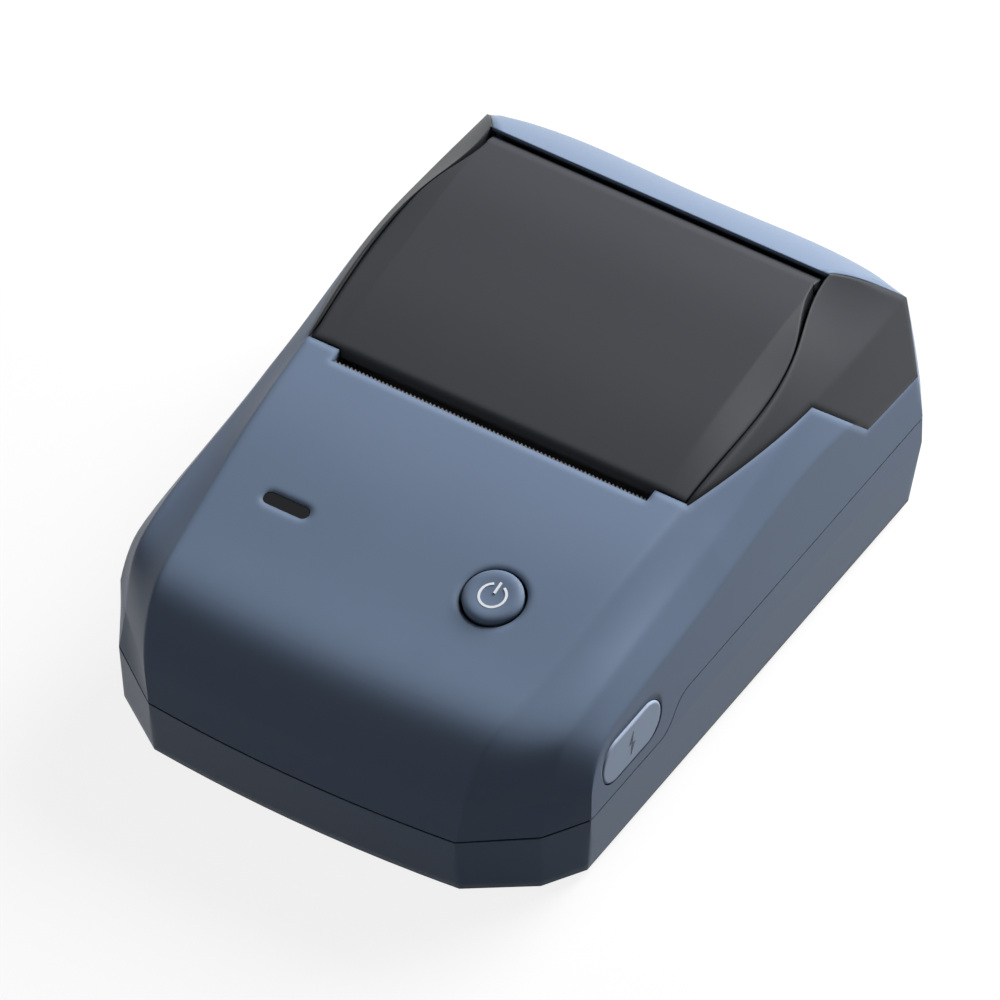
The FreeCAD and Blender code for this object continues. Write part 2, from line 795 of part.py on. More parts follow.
def hinge_arm():
    """Right arm from the carrier to its barrel, with a rib along the lid."""
    y, z = deep(hinge_deep), hinge_height
    arm = prism_x([(y - 5.0, z + 2.4), (y, z + 1.6), (y, z - 1.6), (y - 5.0, z - 2.0)], arm_x, arm_x + 3.1)
    rib = prism_x([(deep(56.0), 30.0), (y - 5.0, z - 2.0), (y - 5.0, far), (deep(56.0), far)],
                  arm_x + 0.9, arm_x + 2.3)
    rib = rib.cut(rod_x(platen_y(), platen_height, platen_radius + 1.0, 0, far))
    return [arm.common(lid_inner), rib.common(lid_inner)]


def lid_frame():
    """Carrier under the cover with platen ears and hinge barrels."""
    hinge_y = deep(hinge_deep)
    span = box(-lid_flat_half, lid_flat_half, deep(54.6), hinge_y - 3.4, 30.0, far)
    plate = lid_inner.cut(lid_core).common(span)
    parts = [plate]
    for piece in [platen_ear(), hinge_barrel()] + hinge_arm():
        parts += both_sides(piece)
    bores = [rod_x(platen_y(), platen_height, bush_radius, -far, far),
             rod_x(hinge_y, hinge_height, hinge_pin_radius + fit_gap, -far, far)]
    return join(parts).cut(Part.makeCompound(bores))


def platen_shaft():
    right_end = platen_length / 2 + ear_gap + ear_wall + 0.6
    return rod_x(platen_y(), platen_height, shaft_radius, inner_gear_x, right_end)


def platen_rubber():
    tube = rod_x(platen_y(), platen_height, platen_radius, -platen_length / 2, platen_length / 2)
    return tube.cut(rod_x(platen_y(), platen_height, shaft_radius, -far, far))


def platen_bushes():
    inside = platen_length / 2 + ear_gap
    bush = rod_x(platen_y(), platen_height, bush_radius, inside, inside + ear_wall)
    bush = bush.cut(rod_x(platen_y(), platen_height, shaft_radius + fit_gap, 0, far))
    return Part.makeCompound(both_sides(bush))


# Gear train on the left of the chassis

def gear(teeth, phase, width, x0, y, z, bore):
    """Spur gear on an X axle with involute flanks and stub teeth."""
    pitch = gear_module * teeth / 2
    base = pitch * math.cos(math.radians(20))
    tip = pitch + 0.8 * gear_module
    root = pitch - gear_module
    half_tooth = math.pi / (2 * teeth) - gear_backlash / (4 * pitch)

    def half_angle(radius):
        press = math.acos(min(1.0, base / radius))
        start = math.tan(math.radians(20)) - math.radians(20)
        return half_tooth + start - (math.tan(press) - press)

    levels = [root, max(base, root + 0.05), pitch, tip]
    flank = [(radius, half_angle(max(radius, base))) for radius in levels]
    points = []
    for index in range(teeth):
        centre = math.radians(phase) + index * 2 * math.pi / teeth
        for radius, angle in flank:
            points.append((y + radius * math.cos(centre - angle), z + radius * math.sin(centre - angle)))
        for radius, angle in reversed(flank):
            points.append((y + radius * math.cos(centre + angle), z + radius * math.sin(centre + angle)))
    return prism_x(points, x0, x0 + width).cut(rod_x(y, z, bore, x0 - 1, x0 + width + 1))


def step_from(y, z, angle, first_teeth, second_teeth):
    """Centre of a gear that meshes with another at this angle."""
    reach = gear_module * (first_teeth + second_teeth) / 2
    return y + reach * math.cos(math.radians(angle)), z + reach * math.sin(math.radians(angle))


idler_y, idler_z = step_from(platen_y(), platen_height, idler_angle, platen_teeth, idler_teeth)
reduction_y, reduction_z = step_from(idler_y, idler_z, reduction_angle, idler_teeth, small_teeth)
motor_y, motor_z = step_from(reduction_y, reduction_z, motor_angle, large_teeth, motor_teeth)
inner_gear_x = -(chassis_half + run_gap + gear_width)
outer_gear_x = inner_gear_x - run_gap - gear_width


def meshing_phase(angle, teeth):
    """Phase that puts a gap of this gear on the line back to its partner."""
    return angle + 180 + 180 / teeth


def platen_gear():
    return gear(platen_teeth, idler_angle, gear_width, inner_gear_x, platen_y(), platen_height, shaft_radius)


def idler_gear():
    phase = meshing_phase(idler_angle, idler_teeth)
    return gear(idler_teeth, phase, gear_width, inner_gear_x, idler_y, idler_z, axle_radius + fit_gap)


def reduction_gear():
    """Two gears moulded in one, the small one towards the chassis."""
    tooth_step = 360 / idler_teeth
    idler_phase = meshing_phase(idler_angle, idler_teeth)
    nearest = idler_phase + tooth_step * round((reduction_angle - idler_phase) / tooth_step)
    offset = (nearest - reduction_angle) * idler_teeth / small_teeth
    phase = meshing_phase(reduction_angle, small_teeth) - offset
    bore = axle_radius + fit_gap
    small_x = inner_gear_x - run_gap
    small = gear(small_teeth, phase, gear_width + run_gap, small_x, reduction_y, reduction_z, bore)
    large = gear(large_teeth, motor_angle, gear_width, outer_gear_x, reduction_y, reduction_z, bore)
    return join([small, large])


def motor_pinion():
    phase = meshing_phase(motor_angle, motor_teeth)
    return gear(motor_teeth, phase, gear_width, outer_gear_x, motor_y, motor_z, axle_radius)


def gear_axles():
    """Two pins riveted into the chassis plate, the longer with a retaining head."""
    idler_pin = rod_x(idler_y, idler_z, axle_radius, inner_gear_x, -chassis_half + sheet)
    end = outer_gear_x - axle_head - run_gap
    long_pin = rod_x(reduction_y, reduction_z, axle_radius, end, -chassis_half + sheet)
    head = rod_x(reduction_y, reduction_z, 1.6 * axle_radius, end, end + axle_head)
    return Part.makeCompound([idler_pin, join([long_pin, head])])


def stepper_motor():
    """Can motor on the chassis plate, bored for its shaft."""
    face = -chassis_half + sheet
    can = rod_x(motor_y, motor_z, motor_radius, face, face + motor_length)
    rim = [edge for edge in can.Edges if abs(edge.CenterOfMass.x - face - motor_length) < 0.01]
    can = can.makeFillet(0.8, rim)
    collar = rod_x(motor_y, motor_z, motor_collar, face - sheet, face + 1.0)
    bore = rod_x(motor_y, motor_z, axle_radius + fit_gap, face - 2 * sheet, face + motor_length / 2 + run_gap)
    return join([can, collar]).cut(bore)


def motor_shaft():
    inner_end = -chassis_half + sheet + motor_length / 2
    return rod_x(motor_y, motor_z, axle_radius, outer_gear_x - 0.4, inner_end)


def chassis_plates():
    """Side plates of the chassis: the left one also carries the motor and gears."""
    front, rear = deep(chassis_front), deep(chassis_rear)
    y, top = platen_y(), platen_height + 2.0
    right = [(front, chassis_height), (rear, chassis_height), (rear, 26.0), (rear - 3.4, top),
             (y - 5.0, top), (y - 7.5, 28.0), (front + 3.0, 19.0), (front, 18.0)]
    left = [(deep(32.5), motor_z - 5.5), (deep(40.0), chassis_height), (deep(68.0), chassis_height),
            (deep(68.0), 24.0), (rear - 3.0, top), (y - 5.0, top),
            (y - 7.5, 32.0), (deep(40.0), 32.4), (deep(34.0), motor_z + 5.0)]
    return [prism_x(right, chassis_half - sheet, chassis_half),
            prism_x(left, -chassis_half, -chassis_half + sheet)]


def chassis_holes():
    """Platen notches along the lid's swing, and holes for pins, axles and screws."""
    rise, run = hinge_height - platen_height, deep(hinge_deep) - platen_y()
    notch_half = shaft_radius + 0.6
    notch = box(-far, far, -notch_half, notch_half, 0.0, 20.0).fuse(rod_x(0, 0, notch_half, -far, far))
    pin_y, pin_z = head_point(-(ceramic_wall + sink_wall / 2), -sink_below + 1.8)
    holes = [
        tilt(notch, math.degrees(math.atan2(rise, run)), platen_y(), platen_height),
        rod_x(pin_y, pin_z, head_pin_radius, -far, far),
        rod_x(motor_y, motor_z, motor_collar, -far, 0),
        rod_x(idler_y, idler_z, axle_radius, -far, 0),
        rod_x(reduction_y, reduction_z, axle_radius, -far, 0),
    ]
    return holes + [rod_z(x, y, screw_radius + fit_gap, 0, 30) for x, y in chassis_screw_places()]


def chassis():
    """Bent steel tray with side plates, platen notches and a spring wall."""
    tray = box(-chassis_half, chassis_half, deep(chassis_front), deep(chassis_rear),
               chassis_height, chassis_height + sheet)
    seat_y, seat_z = head_point(-(ceramic_wall + sink_wall + spring_length), 0.0)
    tab = tilt(box(-15.0, 15.0, -sheet, 0.0, -12.0, 3.5), head_lean, seat_y, seat_z)
    tab = tab.common(box(-far, far, -far, far, chassis_height, far))
    return join([tray, tab] + chassis_plates()).cut(Part.makeCompound(chassis_holes()))


# Print head: leaning plate on a pivot, pressed towards the platen

def head_point(back, up):
    """World (y, z) of a place in the head's own leaning axes."""
    lean = math.radians(head_lean)
    reach = platen_radius + paper_gap
    line_y = platen_y() - reach * math.cos(lean)
    line_z = platen_height - reach * math.sin(lean)
    return (line_y + back * math.cos(lean) - up * math.sin(lean),
            line_z + back * math.sin(lean) + up * math.cos(lean))


def on_head(shape):
    line_y, line_z = head_point(0.0, 0.0)
    return tilt(shape, head_lean, line_y, line_z)


def head_ceramic():
    slab = box(-head_half, head_half, -ceramic_wall, 0.0, -ceramic_length / 2, ceramic_length / 2)
    return on_head(slab)


def head_sink():
    """Aluminium plate with a rounded foot around the pivot and shallow rear grooves."""
    back = -(ceramic_wall + sink_wall)
    plate = box(-head_half, head_half, back, -ceramic_wall, -sink_below + 1.8, sink_above)
    middle = back + sink_wall / 2
    foot = rod_x(middle, -sink_below + 1.8, sink_wall / 2, -head_half, head_half)
    bore = rod_x(middle, -sink_below + 1.8, head_pin_radius + fit_gap, -far, far)
    grooves = [box(-head_half - 1, head_half + 1, back - 0.1, back + 0.8, z, z + 0.8)
               for z in (-7.2, -5.4, 2.9)]
    return on_head(join([plate, foot]).cut(Part.makeCompound([bore] + grooves)))


def head_pin():
    y, z = head_point(-(ceramic_wall + sink_wall / 2), -sink_below + 1.8)
    return rod_x(y, z, head_pin_radius, -chassis_half, chassis_half)


def head_springs():
    """Two coil springs between the spring wall and the back of the head."""
    start = -(ceramic_wall + sink_wall + spring_length - spring_wire - 0.05)
    length = spring_length - 2 * spring_wire - 0.1
    helix = Part.makeHelix(length / spring_turns, length, spring_radius - spring_wire)
    section = Part.Wire(Part.makeCircle(spring_wire, V(spring_radius - spring_wire, 0, 0), V(0, 1, 0)))
    coil = Part.Wire(helix.Edges).makePipeShell([section], True, False)
    coil.rotate(V(0, 0, 0), V(1, 0, 0), -90)
    places = [V(x, start, 0) for x in (-spring_place, spring_place)]
    return Part.makeCompound([on_head(coil.translated(place)) for place in places])


def tear_bar():
    """Steel strip with a saw edge along the tear slot."""
    half = slot_half - 0.2
    count = int(2 * half / tooth_pitch)
    step = 2 * half / count
    top = hood_rear_height - 0.3
    points = [(-half, top - blade_height), (half, top - blade_height)]
    for index in range(count, 0, -1):
        points.append((-half + index * step, top - tooth_height))
        points.append((-half + (index - 0.5) * step, top))
    points.append((-half, top - tooth_height))
    outline = [V(x, deep(slot_front), z) for x, z in points]
    return Part.Face(Part.makePolygon(outline + outline[:1])).extrude(V(0, blade_wall, 0))


# Roll bay with its sliding guides

def rack_side(sign):
    """Y of a rack's pitch line, in front of or behind the guide pinion."""
    return deep(bay_deep) + sign * rack_module * guide_pinion_teeth / 2


def bay_hollow():
    """Room for the roll: half round below its axis and straight above."""
    y = deep(bay_deep)
    bowl = rod_x(y, bay_height, bay_radius, -bay_half, bay_half)
    return bowl.fuse(box(-bay_half, bay_half, y - bay_radius, y + bay_radius, bay_height, far))


def bay_slots():
    """Slots in the tub floor that the feet of the guides run in."""
    slots = []
    near, outer_end = guide_rest - guide_travel - 1.6, guide_rest + guide_wall + 1.0
    for sign, x0, x1 in ((-1, near, outer_end), (1, -outer_end, -near)):
        y = rack_side(sign) + sign * 1.4
        slots.append(box(x0, x1, y - guide_slot / 2, y + guide_slot / 2, 0, bay_height - 8.0))
    return slots


def roll_bay():
    """Tub with a round floor, upright cheeks and a flange for the wings."""
    y = deep(bay_deep)
    outside = bay_half + bay_wall
    radius = bay_radius + bay_wall
    lip_y = y - bay_radius + 6.0
    bowl = rod_x(y, bay_height, radius, -outside, outside).common(box(-far, far, -far, far, 0, bay_height))
    cheeks = box(-outside, outside, y - radius, y + radius, bay_height, bay_top)
    flange = lid_opening(-2.0, bay_top - bay_wall, bay_top).common(box(-far, far, lip_y, y + radius, 0, far))
    hollow = bay_hollow()
    foot = rod_z(20.0, 0.0, 1.6, floor_top, bay_height - bay_radius + 1.0)
    feet = []
    for shift in (-10.5, 10.5):
        placed = foot.translated(V(0, y + shift, 0)).cut(hollow)
        feet += both_sides(placed)
    tub = join([bowl, cheeks, flange]).cut(hollow).multiFuse(feet)
    return tub.cut(Part.makeCompound([box(-far, far, y - 40, lip_y, bay_lip_height, far)] + bay_slots()))


def rack_level():
    return floor_top + run_gap


def guide_pinion():
    """Small pinion under the tub floor that keeps the guides centred."""
    y = deep(bay_deep)
    flat = vertical_gear(guide_pinion_teeth, rack_module, 90.0)
    flat.translate(V(0, y, rack_level()))
    return flat.cut(rod_z(0, y, axle_radius + fit_gap, 0, 30))


def vertical_gear(teeth, module, phase):
    """Pinion on a Z axle with straight-sided stub teeth."""
    pitch = module * teeth / 2
    points = []
    for index in range(teeth):
        centre = math.radians(phase) + index * 2 * math.pi / teeth
        for radius, share in ((pitch - module, 0.36), (pitch, 0.235), (pitch + 0.75 * module, 0.10)):
            angle = share * 2 * math.pi / teeth
            points.append((radius, centre - angle))
        for radius, share in ((pitch + 0.75 * module, 0.10), (pitch, 0.235), (pitch - module, 0.36)):
            angle = share * 2 * math.pi / teeth
            points.append((radius, centre + angle))
    flat = [(r * math.cos(a), r * math.sin(a)) for r, a in points]
    return prism_z(flat, 0.0, rack_height)


def roll_guide():
    """Right guide: hub disc, foot through the floor and a rack to the pinion."""
    axis_y = deep(bay_deep)
    inside, outside = guide_rest, guide_rest + guide_wall
    foot_y = rack_side(-1) - 1.4
    disc = rod_x(axis_y, bay_height, guide_radius, inside, outside)
    hub = rod_x(axis_y, bay_height, hub_radius, inside - hub_length, inside)
    floor = floor_top + run_gap + rack_height
    leg = prism_x([(axis_y - 8.0, bay_height), (axis_y + 4.0, bay_height), (axis_y - 3.0, 15.5),
                   (foot_y + 1.2, 11.5), (foot_y + 1.2, floor - 0.1), (foot_y - 1.2, floor - 0.1),
                   (foot_y - 1.2, 11.5), (axis_y - 8.6, 15.5)], inside, outside)
    pitch_y = rack_side(-1)
    step = math.pi * rack_module
    inner_end = -(rack_teeth // 2 - 1) * step
    outline = [(outside, pitch_y - 2.6), (inner_end, pitch_y - 2.6)]
    outline += rack_profile(inner_end, pitch_y, step)
    outline.append((outside, pitch_y - rack_module))
    rack = prism_z(outline, rack_level(), rack_level() + rack_height)
    return join([disc, hub, leg, rack])


def rack_profile(start, pitch_y, step):
    """Teeth along +X that reach towards the pinion behind the rack."""
    points = []
    low = pitch_y - rack_module
    high = pitch_y + 0.75 * rack_module
    for index in range(rack_teeth):
        left = start + index * step
        points += [(left + 0.14 * step, low), (left + 0.40 * step, high),
                   (left + 0.60 * step, high), (left + 0.86 * step, low)]
    return points


def guide_post():
    """Axle of the guide pinion, standing on the base floor."""
    return rod_z(0, deep(bay_deep), axle_radius, floor_top, rack_level() + rack_height + 0.2)


# Electronics

def main_board():
    corner = 7.0
    y0, y1 = deep(board_front), deep(board_rear)
    outline = [(-board_half, y1), (-board_half, y0 + corner), (-board_half + corner, y0),
               (board_half - corner, y0), (board_half, y0 + corner), (board_half, y1)]
    board = prism_z(outline, board_top - board_wall, board_top)
    return board.cut(Part.makeCompound([rod_z(x, y, screw_radius + fit_gap, 0, 40)
                                        for x, y in board_screw_places()]))


def usb_socket():
    """Steel shell of the charging socket with its tongue."""
    mouth = half_width - wall - 0.4
    shell = stadium(socket_width, socket_height, socket_length)
    hollow = stadium(socket_width - 0.6, socket_height - 0.6, socket_length)
    hollow.translate(V(0, 0, 0.8))
    tongue = box(-3.3, 3.3, -0.35, 0.35, 0.5, socket_length - 1.2)
    return on_side(join([shell.cut(hollow), tongue]), mouth - socket_length)


def battery_pack():
    y0 = deep(battery_front)
    pack = box(-battery_width / 2, battery_width / 2, y0, y0 + battery_length,
               floor_top, floor_top + battery_height)
    long_edges = [edge for edge in pack.Edges if abs(edge.Vertexes[0].X - edge.Vertexes[1].X) > 1]
    return pack.makeFillet(2.0, long_edges)


def key_board():
    plate = box(-key_half, key_half, -key_length / 2, key_length / 2, -key_wall, 0.0)
    holes = [rod_z(x, 0, 0.7, -5, 5) for x, _ in key_post_places()]
    return on_hood(plate.cut(Part.makeCompound(holes)), 0.0, button_deep, key_depth)


def tact_switch():
    """Square switch body with a round plunger under the button."""
    half = switch_size / 2
    body = box(-half, half, -half, half, 0.0, switch_height - 0.8)
    plunger = rod_z(0, 0, 1.6, 0.0, switch_height - 0.3)
    return on_hood(join([body, plunger]), button_x, button_deep, key_depth)


def status_led():
    return on_hood(box(-1.0, 1.0, -0.6, 0.6, 0.0, 0.9), window_x, button_deep, key_depth)


def indicator_window():
    """Smoked window with a light guide down to the lamp."""
    head = stadium(window_length, window_width, wall)
    guide = box(-0.9, 0.9, -0.5, 0.5, 1.2 - key_depth + wall, 0.0)
    return on_hood(join([head, guide]), window_x, button_deep, wall + 0.1)


def power_button():
    """Dished cap with a retaining collar and a stem to the switch."""
    cap = rod_z(0, 0, button_radius, -wall, button_rise)
    rim = [edge for edge in cap.Edges if abs(edge.CenterOfMass.z - button_rise) < 0.01]
    cap = cap.makeFillet(0.5, rim)
    stem = rod_z(0, 0, 1.5, switch_height - key_depth + button_travel, 0.0)
    dish = Part.makeSphere(18.0, V(0, 0, 18.0 + button_rise - 0.25))
    return on_hood(join([cap, stem]).cut(dish), button_x, button_deep, 0.0)


def usb_plug():
    """Soft dust plug: oval flap and a hollow tongue that fills the socket."""
    flap = stadium(plug_length, plug_width, plug_wall)
    rim = [edge for edge in flap.Edges if abs(edge.CenterOfMass.z - plug_wall) < 0.01]
    flap = flap.makeFillet(0.4, rim)
    tongue = stadium(socket_width - 1.4, socket_height - 1.4, 3.0)
    tongue.translate(V(0, 0, -2.9))
    room = box(-3.6, 3.6, -0.65, 0.65, -5.0, -0.4)
    return on_side(join([flap, tongue.cut(room)]), half_width - plug_wall)


# Feet and screws

def rubber_feet():
    feet = []
    for x, y in foot_places():
        foot = rod_z(x, y, foot_radius, 0.0, foot_drop + foot_seat)
        rim = [edge for edge in foot.Edges if abs(edge.CenterOfMass.z) < 0.01]
        feet.append(foot.makeFillet(0.5, rim))
    return Part.makeCompound(feet)


def screw(x, y, z, length, radius):
    """Pan-headed screw whose head rests at height z and whose shank goes down."""
    head = rod_z(x, y, screw_head, z, z + 1.0)
    shank = rod_z(x, y, radius, z - length, z)
    return join([head, shank])


def base_screws():
    screws = []
    for x, y in base_screw_places():
        up = screw(0, 0, 0, parting_front - foot_drop + 3.0, screw_radius)
        up.rotate(V(0, 0, 0), V(1, 0, 0), 180)
        up.translate(V(x, y, foot_drop + 1.2))
        screws.append(up)
    return Part.makeCompound(screws)


def board_screws():
    return Part.makeCompound([screw(x, y, board_top, 6.0, screw_radius - fit_gap)
                              for x, y in board_screw_places()])


def chassis_screws():
    return Part.makeCompound([screw(x, y, chassis_height + sheet, 6.0, screw_radius - fit_gap)
                              for x, y in chassis_screw_places()])


def pieces():
    """Every piece of the printer, by node name."""
    right_wing = wing()
    right_guide = roll_guide()
    left_guide = right_guide.copy()
    left_guide.rotate(V(0, deep(bay_deep), 0), V(0, 0, 1), 180)
    return {
        "base_shell": base_shell(),
        "upper_shell": upper_shell(),
        "right_wing": right_wing,
        "left_wing": mirrored(right_wing),
        "hinge_pins": hinge_pins(),
        "lid_panel": lid_panel(),
        "lid_frame": lid_frame(),
        "platen_shaft": platen_shaft(),
        "platen_rubber": platen_rubber(),
        "platen_bushes": platen_bushes(),
        "platen_gear": platen_gear(),
        "idler_gear": idler_gear(),
        "reduction_gear": reduction_gear(),
        "motor_pinion": motor_pinion(),
        "gear_axles": gear_axles(),
        "stepper_motor": stepper_motor(),
        "motor_shaft": motor_shaft(),
        "chassis": chassis(),
        "head_ceramic": head_ceramic(),
        "head_sink": head_sink(),
        "head_pin": head_pin(),
        "head_springs": head_springs(),
        "tear_bar": tear_bar(),
        "roll_bay": roll_bay(),
        "roll_guide_right": right_guide,
        "roll_guide_left": left_guide,
        "guide_pinion": guide_pinion(),
        "guide_post": guide_post(),
        "main_board": main_board(),
        "usb_socket": usb_socket(),
        "battery_pack": battery_pack(),
        "key_board": key_board(),
        "tact_switch": tact_switch(),
        "status_led": status_led(),
        "indicator_window": indicator_window(),
        "power_button": power_button(),
        "usb_plug": usb_plug(),
        "rubber_feet": rubber_feet(),
        "base_screws": base_screws(),
        "board_screws": board_screws(),
        "chassis_screws": chassis_screws(),
    }


def main():
    os.makedirs("parts", exist_ok=True)
    for name, shape in pieces().items():
        shape.exportStep(os.path.join("parts", name + ".step"))


main()
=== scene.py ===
"""Looks of a thermal label printer, laid out as an add-on and run as a script."""
import json
import math

import bmesh
import bpy
from mathutils import Matrix, Vector
from mathutils.bvhtree import BVHTree


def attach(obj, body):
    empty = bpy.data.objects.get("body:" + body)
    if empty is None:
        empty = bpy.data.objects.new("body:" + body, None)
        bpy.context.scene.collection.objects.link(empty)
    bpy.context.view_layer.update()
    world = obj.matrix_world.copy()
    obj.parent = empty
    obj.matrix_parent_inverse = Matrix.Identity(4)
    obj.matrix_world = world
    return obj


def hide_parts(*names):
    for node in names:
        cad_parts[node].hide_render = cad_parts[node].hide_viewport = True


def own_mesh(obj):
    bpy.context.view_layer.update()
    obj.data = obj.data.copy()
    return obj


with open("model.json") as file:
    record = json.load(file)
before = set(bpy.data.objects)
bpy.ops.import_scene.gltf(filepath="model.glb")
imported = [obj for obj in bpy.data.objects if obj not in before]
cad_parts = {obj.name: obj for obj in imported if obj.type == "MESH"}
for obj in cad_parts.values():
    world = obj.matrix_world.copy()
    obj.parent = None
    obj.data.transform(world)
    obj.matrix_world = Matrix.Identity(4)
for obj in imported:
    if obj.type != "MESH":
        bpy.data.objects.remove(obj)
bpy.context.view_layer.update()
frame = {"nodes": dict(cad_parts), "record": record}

bl_info = {
    "name": "Label printer looks",
    "version": (1, 0, 0),
    "blender": (4, 5, 0),
    "location": "3D View > Sidebar > Label printer",
    "description": "Dresses a label printer's solids with finishes, signs and a small studio",
    "category": "Object",
}

MM = 0.001
FRONT_Y = -0.058
WELD = 1e-7


def deep(distance):
    """Y in metres of a place this many millimetres behind the front edge."""
    return FRONT_Y + distance * MM


# Sizes and colours that a user would change

class PrinterSizes(bpy.types.PropertyGroup):
    """Sizes of the signs."""

    power_sign: bpy.props.FloatProperty(
        name="Power sign", description="Diameter of the ring on the button",
        default=3.9 * MM, unit="LENGTH")
    power_line: bpy.props.FloatProperty(
        name="Power line", description="Width of the ring and of its bar",
        default=0.38 * MM, unit="LENGTH")
    bolt_height: bpy.props.FloatProperty(
        name="Bolt height", description="Length of the charging sign",
        default=4.2 * MM, unit="LENGTH")
    ink_wall: bpy.props.FloatProperty(
        name="Ink", description="Thickness of a printed sign",
        default=0.05 * MM, unit="LENGTH")


class PrinterColours(bpy.types.PropertyGroup):
    """Colours of the plastics and of the power sign."""

    body: bpy.props.StringProperty(
        name="Body", description="Moulded housing, as an sRGB hex value", default="67768C")
    trim: bpy.props.StringProperty(
        name="Trim", description="Lid and wings, as an sRGB hex value", default="3A3C40")
    plug: bpy.props.StringProperty(
        name="Plug", description="Soft charging plug, as an sRGB hex value", default="9FAEC4")
    ink: bpy.props.StringProperty(
        name="Ink", description="Printed power sign, as an sRGB hex value", default="DFE3E9")


# Finishes

# The edges are hardly rounded near the parting line, fully rounded away from it, and less again on top.
PARTING_MIDDLE = 13.9 * MM
SEAM_NEAR, SEAM_FAR = 3.2 * MM, 7.0 * MM
TOP_LOW, TOP_HIGH = 40.0 * MM, 44.0 * MM
TOP_SHARE = 0.3
EDGE_SAMPLES = 8

# Painted shade in gaps: full where less than the first share of the near space is open, and none past the
# second.
SHADE_REACH = 0.8 * MM
SHADE_FULL, SHADE_NONE = 0.25, 0.7
SHADE_DARKNESS = 0.12

# Slow clouds in the colour, and the height and unevenness of the grain.
CLOUD_SIZE = 18 * MM
GRAIN_HEIGHT = 0.05 * MM
GRAIN_ROUGH = (0.88, 1.12)


def linear(text):
    """Linear colour with alpha from an sRGB hex value."""
    shares = [int(text[index:index + 2], 16) / 255 for index in (0, 2, 4)]
    curve = [share / 12.92 if share <= 0.04045 else ((share + 0.055) / 1.055) ** 2.4
             for share in shares]
    return (*curve, 1.0)


def times(colour, factor):
    """A linear colour made darker or lighter."""
    return [min(1.0, channel * factor) for channel in colour[:3]] + [1.0]


def add_node(tree, kind, inputs=None, **settings):
    """Add a node, set its properties and fill or link its inputs."""
    node = tree.nodes.new(kind)
    for name, value in settings.items():
        setattr(node, name, value)
    for name, value in (inputs or {}).items():
        if isinstance(value, bpy.types.NodeSocket):
            tree.links.new(value, node.inputs[name])
        else:
            node.inputs[name].default_value = value
    return node


def new_material(name):
    """An empty material with its output node."""
    material = bpy.data.materials.new(name)
    material.use_nodes = True
    tree = material.node_tree
    tree.nodes.clear()
    output = add_node(tree, "ShaderNodeOutputMaterial")
    return material, tree, output


def soft_edges(tree, place, seam_mm, ridge_mm):
    """A normal rounded well on the ridges, and only a little at the parting line and on top."""
    axes = add_node(tree, "ShaderNodeSeparateXYZ", {"Vector": place.outputs["Object"]})
    away = add_node(tree, "ShaderNodeMath", {
        0: axes.outputs["Z"], 1: PARTING_MIDDLE}, operation="SUBTRACT")
    away = add_node(tree, "ShaderNodeMath", {0: away.outputs[0]}, operation="ABSOLUTE")
    reach = add_node(tree, "ShaderNodeMapRange", {
        "Value": away.outputs[0], "From Min": SEAM_NEAR, "From Max": SEAM_FAR,
        "To Min": seam_mm * MM, "To Max": ridge_mm * MM})
    ease = add_node(tree, "ShaderNodeMapRange", {
        "Value": axes.outputs["Z"], "From Min": TOP_LOW, "From Max": TOP_HIGH,
        "To Min": 1.0, "To Max": TOP_SHARE})
    radius = add_node(tree, "ShaderNodeMath", {
        0: reach.outputs["Result"], 1: ease.outputs["Result"]}, operation="MULTIPLY")
    return add_node(tree, "ShaderNodeBevel", {"Radius": radius.outputs[0]}, samples=EDGE_SAMPLES)


def painted_gap_shade(tree, tint, base):
    """The colour, darkened with painted shade deep in gaps and seams, where little of the near space is open.
    """
    near = add_node(tree, "ShaderNodeAmbientOcclusion", {"Distance": SHADE_REACH}, samples=EDGE_SAMPLES)
    unshaded = add_node(tree, "ShaderNodeMapRange", {
        "Value": near.outputs["AO"], "From Min": SHADE_FULL, "From Max": SHADE_NONE})
    return add_node(tree, "ShaderNodeMixRGB", {
        "Fac": unshaded.outputs["Result"], "Color1": times(base, SHADE_DARKNESS), "Color2": tint.outputs["Color"]})


def mottled(name, shade, spread, grain_mm, bump, roughness, shader=None, stretch=(1, 1, 1), soft=None):
    """A finish with fine grain in its roughness and height, and slow clouds in its colour."""
    material, tree, output = new_material(name)
    place = add_node(tree, "ShaderNodeTexCoord")
    turned = add_node(tree, "ShaderNodeMapping", {"Vector": place.outputs["Object"], "Scale": stretch})
    grain = add_node(tree, "ShaderNodeTexNoise", {
        "Vector": turned.outputs["Vector"], "Scale": 1 / (grain_mm * MM), "Detail": 3.0, "Roughness": 0.55})
    cloud = add_node(tree, "ShaderNodeTexNoise", {
        "Vector": place.outputs["Object"], "Scale": 1 / CLOUD_SIZE, "Detail": 2.0})
    base = linear(shade)
    tint = add_node(tree, "ShaderNodeMixRGB", {
        "Fac": cloud.outputs["Fac"], "Color1": times(base, 1 - spread), "Color2": times(base, 1 + spread)})
    rough = add_node(tree, "ShaderNodeMapRange", {
        "Value": grain.outputs["Fac"],
        "To Min": roughness * GRAIN_ROUGH[0], "To Max": roughness * GRAIN_ROUGH[1]})
    height = add_node(tree, "ShaderNodeBump", {
        "Height": grain.outputs["Fac"], "Strength": bump, "Distance": GRAIN_HEIGHT})
    if soft:
        # Painted shade: the colour darkens in gaps and seams, where ambient occlusion finds the near space
        # closed.
        tint = painted_gap_shade(tree, tint, base)
        rounded = soft_edges(tree, place, *soft)
        tree.links.new(rounded.outputs["Normal"], height.inputs["Normal"])
    surface = add_node(tree, "ShaderNodeBsdfPrincipled", {
        "Base Color": tint.outputs["Color"], "Roughness": rough.outputs["Result"],
        "Normal": height.outputs["Normal"], **(shader or {})})
    tree.links.new(surface.outputs["BSDF"], output.inputs["Surface"])
    return material


